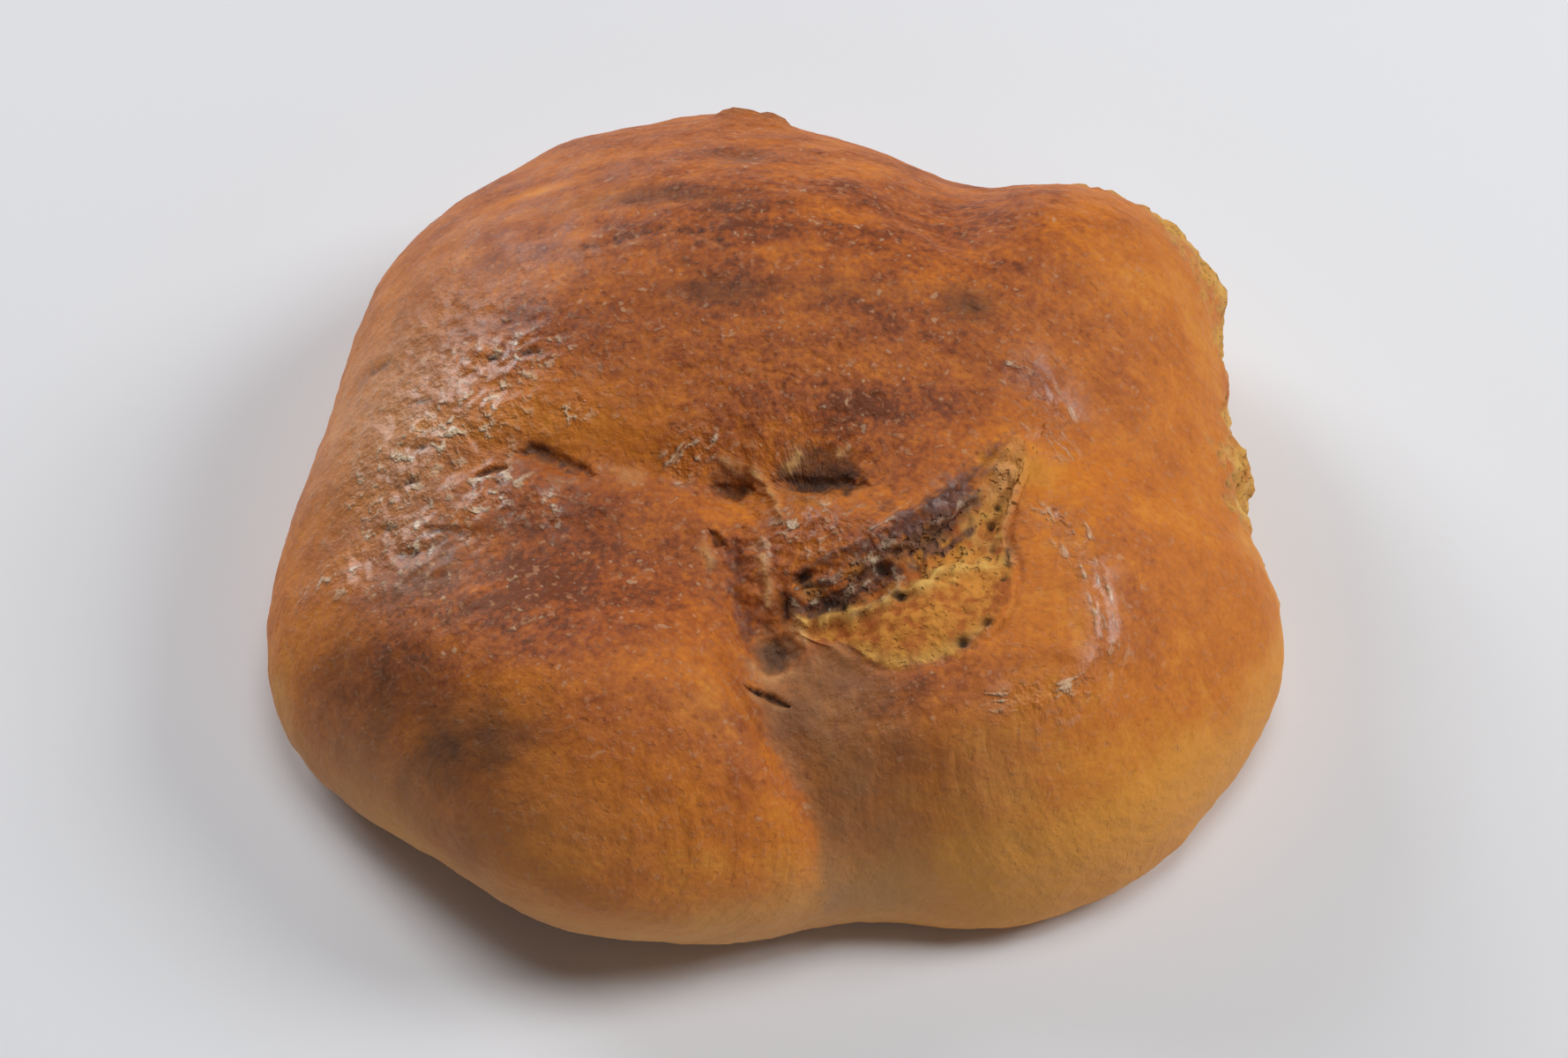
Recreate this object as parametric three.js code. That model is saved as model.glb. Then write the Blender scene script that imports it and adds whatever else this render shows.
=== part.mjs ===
// A round hearth loaf, one solid of baked dough.
// The dough was folded in from four sides over a low navel, so the loaf has four soft lobes. A seam
// runs from the navel over the front edge, a fold lies along the foot of the tall back lobe, and
// beside the navel the crust burst in the oven: a crescent tear with a raised ear along one side.
import * as THREE from 'three';
import { mergeVertices } from 'three/addons/utils/BufferGeometryUtils.js';

// Driving dimensions. Lengths are millimetres, bearings are degrees anticlockwise from +X seen from
// above, and +Z is up. The front of the loaf faces -Y.
const DOME_HEIGHT = 56; // height of the plain dome that the lobes rise from
const SHOULDER_POWER = 4; // 2 gives an ellipse, more gives a flatter top and fuller shoulders
const BASE_INSET = 0.7; // how far the flat base lies in from the girth, as a share of the girth's height

// The outline on plan: its least reach, and how far each lobe stands out beyond that.
const OUTLINE = {
  least: 90.8,
  lobes: [
    { lobe: 'back right corner', bearing: 41, spread: 19.5, stands: 22 },
    { lobe: 'back', bearing: 103, spread: 34.5, stands: 21 },
    { lobe: 'back left', bearing: 142.5, spread: 21.5, stands: 11 },
    { lobe: 'front left', bearing: 199, spread: 26.5, stands: 16 },
    { lobe: 'front', bearing: 242.5, spread: 16, stands: 8 },
    { lobe: 'front seam', bearing: 280, spread: 13.5, stands: -8 },
    { lobe: 'front right', bearing: 321, spread: 24.5, stands: 10 },
    { lobe: 'right', bearing: 345, spread: 14, stands: 10.5 },
  ],
};

// The height of the widest girth: low at the front and the right, where the dough slumped on the oven
// floor, and higher where a lobe bulges over its foot.
const GIRTH = {
  least: 10,
  lobes: [
    { lobe: 'torn side', bearing: 22, spread: 30, stands: 17 },
    { lobe: 'back', bearing: 118, spread: 60, stands: 15 },
    { lobe: 'front left', bearing: 242, spread: 24, stands: 20 },
  ],
};

// The crags of the right side, where the loaf was torn from its neighbour in the oven, and the two
// knobs of the back: how far each stands out beyond the outline.
const CRAGS = [
  { crag: 'upper corner', bearing: 50, spread: 4, stands: 2 },
  { crag: 'tip of the corner', bearing: 31, spread: 5, stands: 4 },
  { crag: 'side', bearing: 19, spread: 4, stands: 3 },
  { crag: 'nub', bearing: 7.5, spread: 4, stands: 6 },
  { crag: 'left knob', bearing: 117, spread: 5, stands: 2.5 },
  { crag: 'right knob', bearing: 98, spread: 5, stands: 3 },
];
const CRAG_POWER = 8; // how steeply a crag rises from the crust towards the girth

// The swellings on top, each an ellipse on plan that is turned by its bearing.
const SWELLINGS = [
  { part: 'back lobe', at: [-8, 32], half: [76, 46], bearing: 0, rise: 22 },
  { part: 'front left lobe', at: [-50, -50], half: [44, 30], bearing: 145, rise: 7 },
  { part: 'front right lobe', at: [54, -54], half: [40, 30], bearing: 40, rise: 7 },
  { part: 'back right corner', at: [74, 46], half: [32, 28], bearing: 30, rise: 12 },
  { part: 'tongue beside the tear', at: [18, -26], half: [24, 11], bearing: 30, rise: 4 },
  { part: 'navel', at: [-3, -43], half: [8, 7], bearing: 0, rise: -4 },
  { part: 'left slit', at: [-9, -17], half: [8, 6], bearing: -5, rise: -1.5 },
  { part: 'right slit', at: [9, -16], half: [14, 6.5], bearing: -8, rise: -4 },
];

// The grooves between the folds, each along a smooth curve on plan.
const GROOVES = [
  { groove: 'front seam', through: [[-4, -52], [-1, -65], [6, -77], [9, -100]], half: 6, depth: 5 },
  { groove: 'front valley', through: [[7, -57], [11, -68], [15, -80], [18, -100]], half: 14, depth: 6 },
  { groove: 'fold', through: [[-60, -10], [-47, -9], [-26, -14], [-8, -17]], half: 5.5, depth: 3 },
  { groove: 'left of the navel', through: [[-8, -18], [-10, -30], [-6, -42]], half: 5.5, depth: 1.2 },
  { groove: 'left valley', through: [[-4, -36], [-50, -30], [-98, -18]], half: 17, depth: 6 },
  { groove: 'right valley', through: [[50, -10], [72, -9], [98, -4]], half: 14, depth: 4 },
  { groove: 'back valley', through: [[34, 45], [40, 70], [44, 100]], half: 12, depth: 6 },
];

// The tear is a round patch of bare crumb, drawn out to two tips, of which the circle of the ear
// covers the back: that leaves a crescent. From a low brink along its outer edge the floor slopes
// down, ever more steeply, to the foot of the ear.
const TEAR_MIDDLE = [28, -37];
const TEAR_OUTLINE = {
  least: 16.5,
  lobes: [
    { lobe: 'right tip', bearing: 57, spread: 15, stands: 17 },
    { lobe: 'left tip', bearing: 184, spread: 22, stands: 9.5 },
    { lobe: 'front', bearing: 245, spread: 35, stands: 2.5 },
  ],
};
const TEAR_BRINK = 1.5; // drop from the crust to the floor along the outer edge
const TEAR_DEPTH = 5; // further drop from there to the foot of the ear
const TEAR_RUN = 24; // distance from the ear at which the floor has risen by that drop
const TEAR_TIP = 12; // width of the crescent at which it has its full depth
const TEAR_WALL = 1.2; // width on plan of the wall from the floor's edge up to the crust
const EAR = { centre: [-7.6, 23.3], radius: 61, lift: 2, liftHalf: 6 };

// The roll of dough that curls round the tear.
const ROLL = { radius: 34, half: 10, rise: 5, from: -110, to: 55, fade: 25 };

// The mesh: rings run out from the middle of the tear, up its edge, over the crust to the girth, down
// to the foot and in under the base.
const SECTORS = 116;
const TEAR_RINGS = 6;
const WALL_RINGS = 2;
const TOP_RINGS = 33;
const FOOT_RINGS = 6;
const BASE_RINGS = 1;
const TOP_TURN = 86; // degrees of a quarter turn that space the rings on top, closest at the girth

const CRUST = { color: 0xb5682a, roughness: 0.55, metalness: 0 };

const { degToRad, radToDeg, smoothstep, lerp, clamp, euclideanModulo } = THREE.MathUtils;

const planPoint = ([x, y]) => new THREE.Vector2(x, y);
const planDirection = (bearing) => planPoint([Math.cos(degToRad(bearing)), Math.sin(degToRad(bearing))]);

// A bell of height 1 that falls to 1/e at distance 1.
const bell = (distance) => Math.exp(-distance * distance);

// The difference of two bearings, from -180 to 180 degrees.
const turnBetween = (a, b) => euclideanModulo(a - b + 180, 360) - 180;

// The sum of one measure over a list.
const total = (list, measure) => list.reduce((sum, item) => sum + measure(item), 0);

// How far a list of lobes or crags stands out at a bearing, and a measure that has lobes round a middle.
const standsAt = (list, at) =>
  total(list, ({ bearing, spread, stands }) => stands * bell(turnBetween(at, bearing) / spread));
const lobedMeasure = ({ least, lobes }, bearing) => least + standsAt(lobes, bearing);
const reachAt = (bearing) => lobedMeasure(OUTLINE, bearing);
const girthAt = (bearing) => lobedMeasure(GIRTH, bearing);

// A crag pushes the surface outwards, fully at the girth and less and less away from it.
function cragPush(bearing, nearness) {
  return planDirection(bearing).multiplyScalar(standsAt(CRAGS, bearing) * nearness ** CRAG_POWER);
}

// The rise of one swelling at a point on plan.
function swellingAt(point, { at, half, bearing, rise }) {
  const local = point.clone().sub(planPoint(at)).rotateAround(new THREE.Vector2(), degToRad(-bearing));
  return rise * bell(local.divide(planPoint(half)).length());
}

// Each groove with the points of its curve, which a distance is measured to.
const CURVE_STEPS = 40;
const groovePaths = GROOVES.map((groove) => ({
  ...groove,
  path: new THREE.SplineCurve(groove.through.map(planPoint)).getPoints(CURVE_STEPS),
}));

// The depth of one groove at a point on plan.
function grooveAt(point, { path, half, depth }) {
  const nearest = Math.min(...path.map((p) => p.distanceTo(point)));
  return depth * bell(nearest / half);
}

// How far a point lies inside the tear's outer edge, and how far beyond the edge of the ear.
function insideTear(point) {
  const out = point.clone().sub(planPoint(TEAR_MIDDLE));
  return lobedMeasure(TEAR_OUTLINE, radToDeg(out.angle())) - out.length();
}
const beyondEar = (point) => point.distanceTo(planPoint(EAR.centre)) - EAR.radius;

// How far the tear's floor lies below the crust that would cover it.
function tearDrop(point) {
  const beyond = Math.max(beyondEar(point), 0);
  const width = Math.max(insideTear(point), 0) + beyond;
  const nearness = 1 - Math.min(beyond / TEAR_RUN, 1);
  return (TEAR_BRINK + TEAR_DEPTH * nearness * nearness) * smoothstep(width, 0, TEAR_TIP);
}

// How far the crust is lifted along the ear.
function earLift(point) {
  return EAR.lift * bell(beyondEar(point) / EAR.liftHalf) * smoothstep(insideTear(point), 0, TEAR_TIP);
}

// The rise of the roll round the tear.
function rollAt(point) {
  const out = point.clone().sub(planPoint(TEAR_MIDDLE));
  const middle = (ROLL.from + ROLL.to) / 2;
  const past = Math.abs(turnBetween(radToDeg(out.angle()), middle)) - (ROLL.to - ROLL.from) / 2;
  return ROLL.rise * bell((out.length() - ROLL.radius) / ROLL.half) * (1 - smoothstep(past, 0, ROLL.fade));
}

// The height of the top crust over a point on plan.
function crustHeight(point) {
  const bearing = radToDeg(point.angle());
  const girth = girthAt(bearing);
  const out = clamp(point.length() / reachAt(bearing), 0, 1);
  const dome = Math.sqrt(1 - out ** SHOULDER_POWER);
  const swellings = total(SWELLINGS, (swelling) => swellingAt(point, swelling));
  const grooves = total(groovePaths, (groove) => grooveAt(point, groove));
  const relief = swellings - grooves + rollAt(point) + earLift(point);
  // The relief dies away with the dome at the girth, where the surface stands upright.
  return girth + (DOME_HEIGHT - girth + relief) * dome;
}

// The distance at a bearing from the tear's middle to its edge, which is the outer edge or the ear, or
// to the line that runs all round the tear at a margin outside its edge.
function tearReachAt(bearing, margin) {
  const outer = lobedMeasure(TEAR_OUTLINE, bearing) + margin;
  const earRadius = EAR.radius - margin;
  const toEar = planPoint(EAR.centre).sub(planPoint(TEAR_MIDDLE));
  const along = toEar.dot(planDirection(bearing));
  const halfChordSquared = along * along + earRadius * earRadius - toEar.lengthSq();
  return along > 0 && halfChordSquared > 0 ? Math.min(outer, along - Math.sqrt(halfChordSquared)) : outer;
}

// A point on plan at a bearing and a distance from the tear's middle.
const tearPoint = (bearing, distance) =>
  planDirection(bearing).multiplyScalar(distance).add(planPoint(TEAR_MIDDLE));

// A point of the tear's floor, from its share of the way to the edge.
function floorPoint(bearing, share) {
  const plan = tearPoint(bearing, tearReachAt(bearing, 0) * share);
  return new THREE.Vector3(plan.x, plan.y, crustHeight(plan) - tearDrop(plan));
}

// A point of the crust, from its share of the way from the top of the tear's wall to the girth.
function crustPoint(bearing, share) {
  const wallTop = tearPoint(bearing, tearReachAt(bearing, TEAR_WALL));
  const girth = planDirection(bearing).multiplyScalar(reachAt(bearing));
  const out = Math.sin(degToRad(TOP_TURN * share)) / Math.sin(degToRad(TOP_TURN));
  const plan = wallTop.lerp(girth, out);
  const height = crustHeight(plan);
  plan.add(cragPush(bearing, out));
  return new THREE.Vector3(plan.x, plan.y, height);
}

// The reach of the flat base at a bearing.
const baseReachAt = (bearing) => reachAt(bearing) - BASE_INSET * girthAt(bearing);

// A point of the side below the girth, from its share of the way down to the base.
function footPoint(bearing, share) {
  const under = (share * Math.PI) / 2;
  const reach = lerp(baseReachAt(bearing), reachAt(bearing), Math.cos(under));
  const plan = planDirection(bearing).multiplyScalar(reach).add(cragPush(bearing, 1 - share));
  return new THREE.Vector3(plan.x, plan.y, girthAt(bearing) * (1 - Math.sin(under)));
}

// A point of the flat base, from its share of the way in to the middle.
function basePoint(bearing, share) {
  const plan = planDirection(bearing).multiplyScalar(baseReachAt(bearing) * (1 - share));
  return new THREE.Vector3(plan.x, plan.y, 0);
}

// A point of the wall round the tear, from its share of the way up to the crust.
const wallPoint = (bearing, share) => floorPoint(bearing, 1).lerp(crustPoint(bearing, 0), share);

// The stretches that the rings pass over, from the middle of the tear to the middle of the base.
const STRETCHES = [
  { rings: TEAR_RINGS, place: floorPoint },
  { rings: WALL_RINGS, place: wallPoint },
  { rings: TOP_RINGS, place: crustPoint },
  { rings: FOOT_RINGS, place: footPoint },
  { rings: BASE_RINGS, place: basePoint },
];
const RINGS = total(STRETCHES, ({ rings }) => rings);

// The place on the loaf of a point of a ring.
function loafPoint(bearing, ring) {
  let left = ring;
  for (const { rings, place } of STRETCHES) {
    if (left <= rings) return place(bearing, left / rings);
    left -= rings;
  }
  return basePoint(bearing, 1);
}

// A sphere, its poles turned to +Z and -Z, with each of its points moved to the loaf's surface.
function loafGeometry() {
  const sphere = new THREE.SphereGeometry(1, SECTORS, RINGS).rotateX(Math.PI / 2);
  sphere.deleteAttribute('normal');
  sphere.deleteAttribute('uv');
  const geometry = mergeVertices(sphere, 1e-6);
  const position = geometry.getAttribute('position');
  const direction = new THREE.Vector3();
  for (let i = 0; i < position.count; i += 1) {
    direction.fromBufferAttribute(position, i);
    const bearing = radToDeg(Math.atan2(direction.y, direction.x));
    const ring = Math.round((Math.acos(clamp(direction.z, -1, 1)) / Math.PI) * RINGS);
    position.setXYZ(i, ...loafPoint(bearing, ring).toArray());
  }
  geometry.computeVertexNormals();
  return geometry;
}

const loaf = new THREE.Mesh(loafGeometry(), new THREE.MeshStandardMaterial(CRUST));
loaf.name = 'loaf';

const bread = new THREE.Group();
bread.add(loaf);

export default bread;
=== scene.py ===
import math

import bmesh
import bpy
import numpy as np
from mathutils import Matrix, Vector, noise


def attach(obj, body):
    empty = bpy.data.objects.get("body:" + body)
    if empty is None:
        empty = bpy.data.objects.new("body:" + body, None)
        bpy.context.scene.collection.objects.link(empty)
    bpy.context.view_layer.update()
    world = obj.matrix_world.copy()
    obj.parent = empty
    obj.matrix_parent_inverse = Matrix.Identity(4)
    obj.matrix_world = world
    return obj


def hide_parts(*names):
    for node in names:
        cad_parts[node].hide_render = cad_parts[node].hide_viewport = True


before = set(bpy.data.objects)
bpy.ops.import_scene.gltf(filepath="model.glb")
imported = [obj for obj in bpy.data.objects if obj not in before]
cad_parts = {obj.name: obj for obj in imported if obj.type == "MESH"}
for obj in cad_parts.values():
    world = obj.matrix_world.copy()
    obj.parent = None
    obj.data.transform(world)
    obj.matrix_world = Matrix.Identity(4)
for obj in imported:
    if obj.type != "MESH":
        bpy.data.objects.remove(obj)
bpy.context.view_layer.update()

# The loaf
# A round hearth loaf of wheat dough, folded in from four sides and baked on a bare oven floor. It is
# one piece: a thin browned crust over soft crumb, which shows where the loaf burst and where it was torn
# from its neighbour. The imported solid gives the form, and the crust is worked into a finer copy of it.
MM = 0.001
dough = bmesh.new()
dough.from_mesh(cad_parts["loaf"].data)
bmesh.ops.remove_doubles(dough, verts=dough.verts, dist=0.001 * MM)

# The mesh is finest round the navel and the tear, fine on the wrinkled left shoulder, and coarse below, where
# the loaf lies on the table. A fine patch is an ellipse on plan: its middle, half sizes and longest edge. All
# lengths of the loaf are in millimetres, and its bearings in degrees.
FOOT_TOP = 3
FOOT_EDGE = 5.5
CRUST_EDGE = 1.9
FINE_PATCHES = (((10, -32), (54, 36), 0.9), ((-62, -6), (28, 36), 0.95))


def longest_edge(spot):
    if spot.z < FOOT_TOP * MM:
        return FOOT_EDGE * MM
    edges = [CRUST_EDGE]
    for middle, half, edge in FINE_PATCHES:
        if math.hypot((spot.x / MM - middle[0]) / half[0], (spot.y / MM - middle[1]) / half[1]) < 1:
            edges.append(edge)
    return min(edges) * MM


# Each round halves the edges that are too long. All but the last round then smooth the solid's facets
# away, most of all round the tear's narrow tip.
SMOOTH_PASSES = (1, 1, 1, 0)
TEAR_TIP = Vector((43.5, -16.5))
TIP_REACH = 12
TIP_PASSES = 14
for passes in SMOOTH_PASSES:
    long_edges = [
        edge
        for edge in dough.edges
        if edge.calc_length() > longest_edge((edge.verts[0].co + edge.verts[1].co) / 2)
    ]
    bmesh.ops.subdivide_edges(dough, edges=long_edges, cuts=1, use_grid_fill=True)
    bmesh.ops.triangulate(dough, faces=[face for face in dough.faces if len(face.verts) > 3])
    near_tip = [vert for vert in dough.verts if (vert.co.xy / MM - TEAR_TIP).length < TIP_REACH]
    for smoothed in [dough.verts] * passes + [near_tip] * TIP_PASSES * passes:
        bmesh.ops.smooth_vert(
            dough, verts=smoothed, factor=0.5, use_axis_x=True, use_axis_y=True, use_axis_z=True
        )
dough.normal_update()

points = np.array([vert.co for vert in dough.verts]) / MM
normals = np.array([vert.normal for vert in dough.verts])
plan = points[:, :2].copy()
height = points[:, 2].copy()
x, y = plan.T


def fade(value, start, end):
    """A smooth step, from 0 at the start to 1 at the end."""
    share = np.clip((value - start) / (end - start), 0, 1)
    return share * share * (3 - 2 * share)


def bell(distance):
    """A smooth hump: 1 in the middle, about a third at a distance of 1 and almost nothing at 2."""
    return np.exp(-distance * distance)


def lumps(size, octaves=3, seed=0, at=points):
    """Smooth noise about zero, whose largest lumps are about this many millimetres across."""
    shift = Vector((seed * 17.3, seed * 5.1, seed * 9.7))
    return np.array([noise.fractal(Vector(p) / size + shift, 1.0, 2.0, octaves) for p in at])


def ellipse(centre, half, bearing=0):
    """How far out each point is from the middle of an ellipse on plan, with 1 at its rim."""
    turn = math.radians(bearing)
    along = (x - centre[0]) * math.cos(turn) + (y - centre[1]) * math.sin(turn)
    across = (y - centre[1]) * math.cos(turn) - (x - centre[0]) * math.sin(turn)
    return np.hypot(along / half[0], across / half[1])


def beside(path):
    """How far each point is from a path on plan, positive on its left, and at what share of its length."""
    knots = np.array(path, float)
    runs = np.diff(knots, axis=0)
    lengths = np.hypot(*runs.T)
    starts = np.cumsum(lengths) - lengths
    nearest = np.full(len(plan), np.inf)
    side = np.ones(len(plan))
    share = np.zeros(len(plan))
    for knot, run, length, start in zip(knots, runs, lengths, starts):
        along = np.clip((plan - knot) @ run / length**2, 0, 1)
        gap = plan - (knot + along[:, None] * run)
        distance = np.hypot(*gap.T)
        closer = distance < nearest
        nearest = np.where(closer, distance, nearest)
        side = np.where(closer, np.where(run[0] * gap[:, 1] < run[1] * gap[:, 0], -1, 1), side)
        share = np.where(closer, (start + along * length) / lengths.sum(), share)
    return nearest * side, share


# The skin of the dough was stretched outwards, so its wrinkles run round the loaf, apart from the left
# shoulder, which has its own. Noise on the skin's flow is drawn out round the loaf.
SKIN_CENTRE = (5, -20)
WRINKLE_ROUND = 24
skin_radius = np.hypot(x - SKIN_CENTRE[0], y - SKIN_CENTRE[1])
skin_turn = np.arctan2(y - SKIN_CENTRE[1], x - SKIN_CENTRE[0])
skin_flow = np.column_stack(
    (np.cos(skin_turn) * WRINKLE_ROUND, np.sin(skin_turn) * WRINKLE_ROUND, skin_radius + 0.6 * height)
)
stretched = fade(x, -45, -5)

# Noise that the features share, from broad lumps down to the grain. Features of the upper crust fade out on
# the way down, and all of them do just above the base, which stays flat.
on_top = fade(height, 14, 30)
off_base = fade(height, 0.5, 5)
big_lumps = lumps(24, 2, 1)
small_lumps = lumps(7, 3, 2)
grain = lumps(2.6, 2, 3)
waver = lumps(4, 2, 4)
ragged_edge = lumps(2.2, 2, 5)
wrinkles = np.abs(lumps(4.2, 2, 6, skin_flow)) * stretched

# How far each point moves out of the crust, how far it is pushed besides, both in millimetres, and what the
# material reads there, each from 0 to 1.
rise = 0.55 * big_lumps + 0.32 * small_lumps + 0.12 * grain - 0.2 * wrinkles
push = np.zeros_like(points)
MASKS = (
    "bake", "crumb", "burnt", "scorch", "gloss", "pale",
    "hollow", "shade", "stretch", "porous", "rolls", "glint",
)
masks = {name: np.zeros(len(points)) for name in MASKS}
masks["stretch"] = stretched


def mark(name, share):
    """Raise a mask to this share where it is lower."""
    masks[name] = np.maximum(masks[name], np.clip(share, 0, 1))


# How brown the crust is: deep on the back and left lobes, golden on the right and round the foot. Patches
# are ellipses on plan: middle, half sizes, bearing, and how much browner than the crust round them.
browning = 0.6 + 0.13 * bell(ellipse((-10, 34), (75, 40))) - 0.34 * fade(x - 0.25 * y, 35, 80)
browning -= 0.24 * fade(-y, 45, 95)
browning -= 0.3 * fade(-height, -38, -14)
PATCHES = (
    ((-46, -38), (22, 16), 0, 0.36),
    ((22, -4), (18, 9), 0, 0.22),
    ((46, -3), (10, 6), 0, -0.15),
    ((47, -36), (12, 26), 0, -0.14),
    ((-11, -53), (7, 11), 25, -0.14),
    ((27, -63), (14, 8), 0, 0.12),
    ((-25, -50), (9, 14), 0, -0.12),
    ((-45, -5), (28, 6), -12, -0.42),
    ((-68, -37), (13, 9), -20, 0.22),
    ((-54, 14), (12, 6), 0, 0.15),
    ((-97, -38), (8, 16), -15, -0.25),
    ((-49, 60), (9, 2.8), 10, -0.38),
    ((-40, 35.5), (4, 3), 0, -0.3),
    ((18.5, 63), (9, 6), 0, -0.32),
    ((20.5, 40.5), (6, 4), 0, -0.15),
    ((81, 42), (7, 18), 20, -0.15),
    ((45, -14), (9, 6), -10, -0.45),
    ((67, -36), (9, 25), 0, 0.22),
    ((52, -71), (14, 8), 30, 0.1),
    ((74, -69), (16, 6), 40, -0.3),
    ((-8, -67), (8, 9), 30, 0.15),
    ((11, -20), (8, 3), 0, -0.25),
    ((-8, -22), (6, 5), 0, -0.2),
    # These two lighten the back left: painted sheen.
    ((-72, 45), (24, 26), -40, -0.22),
    ((-88, 8), (14, 40), 0, -0.18),
    ((-5, 84), (40, 12), 0, -0.1),
    ((38, -84), (22, 10), 0, -0.25),
    ((-72, -68), (12, 9), -30, -0.2),
    ((33, 30), (13, 9), 0, 0.1),
    ((2, 65), (10, 6), 0, 0.12),
    ((-9, -80), (9, 8), 0, -0.15),
)
for centre, half, turn, browner in PATCHES:
    browning += browner * bell(ellipse(centre, half, turn) + 0.25 * small_lumps)
masks["bake"] = browning

# The dome's dents and smudges and the scorched front left, all patches of darker crust, and two patches of
# painted shade below the tear: middle, half sizes, bearing, how far each has sunk and how dark it is.
DENTS = (
    ((-26, 47), (19, 3.5), -8, 0.5, 0.5),
    ((-11, 39), (5, 3), 0, 0.3, 0.25),
    ((-11, 18.5), (9, 3), 4, 0.7, 0.6),
    ((37, 19), (5, 4), 0, 0.9, 0.7),
    ((13, 19), (11, 3), 0, 0.2, 0.3),
    ((-8, 66), (5, 4), 0, 0.9, 0.5),
    ((-9.5, 45), (4, 3), 0, 0.3, 0.25),
    ((-57.5, -67.5), (14, 7.5), -20, 0.0, 0.85),
    ((-71, -57), (15, 8), -36, 0.0, 0.5),
    ((-82, -47.5), (9.5, 7), -45, 0.0, 0.44),
    ((-54, -76), (9, 6), 0, 0.0, 0.35),
    # These two darken the flank below the tear: painted shade.
    ((4, -61), (11, 7), -20, 0.0, 0.5),
    ((9, -55), (9, 4.5), -25, 0.0, 0.5),
    ((-12, -64), (7, 5), 0, 0.0, 0.2),
    ((-47, -8.4), (4.5, 2.2), -15, 0.3, 0.4),
)
for centre, half, turn, depth, strength in DENTS:
    dent = bell(ellipse(centre, half, turn) + 0.22 * small_lumps) * on_top
    rise -= depth * dent
    mark("scorch", strength * dent)

# The cracks of the folds, narrow cuts that open under a lip, with painted shade in the cut and a painted
# highlight on its lower rim: path, half width, depth, how far the lip leans over the cut, and how dark its
# painted shade is, which also sets its highlight. Each runs from left to right, so that its lip is behind it.
CUTS = (
    (((-58.5, -12.4), (-55.3, -11.7), (-51.8, -11.5)), 0.9, 0.7, 0.2, 0.7),
    (((-50, -8.4), (-47.5, -8.6), (-44.5, -10), (-40.2, -12.4), (-35.6, -14.1)), 1.8, 1.1, 0.3, 0.5),
    (((-12.7, -15.6), (-9, -15.8), (-4.7, -16.3)), 1.2, 0.5, 0.2, 0.3),
    (((0.3, -15.6), (3.5, -16.2), (8, -16.6), (12.5, -17), (17, -18.2)), 1.7, 0.7, 0.3, 0.4),
    (((-12.8, -25.4), (-10.4, -27.8)), 1.5, 1.2, 0.3, 0.7),
    (((-6, -54.2), (-2.1, -55.5), (2.2, -58)), 0.9, 1.2, 0.4, 0.8),
    (((-39.7, 31.4), (-31.8, 33.2), (-23.1, 34.2), (-14.4, 32.7), (-9.2, 28.3)), 1.2, 0.5, 0.1, 0.5),
)
for cut_path, half, depth, lean, dark in CUTS:
    away, share = beside(cut_path)
    away = away + 0.4 * half * waver + 0.25 * half * ragged_edge
    width = half * np.sqrt(np.clip(4 * share * (1 - share), 0.04, 1))
    opening = fade(away, 1.1 * width, 0.3 * width) * fade(away, -1.7 * width, -0.2 * width) * on_top
    lip = fade(away, 0.2 * width, 1.1 * width) * fade(away, 5 * width, 1.1 * width) * on_top
    rise += 0.35 * lean * lip - depth * opening
    push[:, 1] -= lean * lip
    # Painted shade in the cut, and a painted highlight on its lower rim.
    mark("hollow", dark * opening * fade(away, -1.4 * width, 0.3 * width))
    highlight_rim = bell((away + 2.2 * width) / (0.8 * width)) * fade(ragged_edge, -0.4, 0.3)
    mark("pale", 0.3 * dark * highlight_rim * on_top)

# The two slits behind the navel gape like eyes, filled with painted shade that is darkest along their front
# edges: middle, half sizes and how dark.
SLITS = (((8.4, -14.6), (9.4, 4.2), 0.78), ((-8.8, -15.1), (5.0, 2.6), 0.5))
SLIT_BEARING = -7
for slit_middle, half, dark in SLITS:
    slit = ellipse(slit_middle, half, SLIT_BEARING) + 0.35 * waver + 0.25 * ragged_edge
    eye = fade(slit, 1.2, 0.5) * on_top
    low = fade(y - slit_middle[1] + 0.5 * waver, 0.6 * half[1], -0.6 * half[1])
    rise -= eye * (0.3 + 0.5 * low)
    mark("scorch", 0.9 * dark * eye)
    mark("hollow", dark * eye * low)

# The ragged dough between the slits and the navel: a slot darkened with painted shade in the char tone, and
# streaks and flakes of paler dough, given by path, half width, how far they stand up and how pale they are.
SLOT = ((-8, -29.5), (-8.5, -35), (-7.1, -39.5), (-5.6, -43))
slot = beside(SLOT)[0] + 0.9 * waver
rise -= 1.1 * bell(slot / 1.9) * on_top
# Painted shade in the slot, in the char tone.
mark("burnt", 0.6 * bell(slot / 2.1) * on_top)
STREAKS = (
    (((-2.6, -31), (-2.2, -35), (-1.8, -38.4)), 1.0, 0.7, 0.55),
    (((-4.6, -13.2), (-1.9, -16.8), (-0.2, -20.3), (0.5, -24)), 0.8, 0.8, 0.55),
    (((-10.4, -12.4), (-7.8, -12.8)), 1.0, 0.4, 0.5),
    (((1.6, -13.6), (3.8, -11.4)), 1.1, 0.5, 0.7),
    (((11.6, -11.3), (12.6, -11.3)), 0.8, 0.2, 0.6),
    (((-13.8, -28.6), (-12.4, -32)), 1.2, 0.4, 0.45),
    (((-5, -50), (-2, -52.2), (2.8, -51.6)), 1.3, 0.3, 0.35),
    (((3, -41.4), (5.4, -45)), 1.4, 0.5, 0.8),
    (((-31.5, -14), (-27, -14.6)), 1.2, 0.2, 0.45),
)
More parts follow.
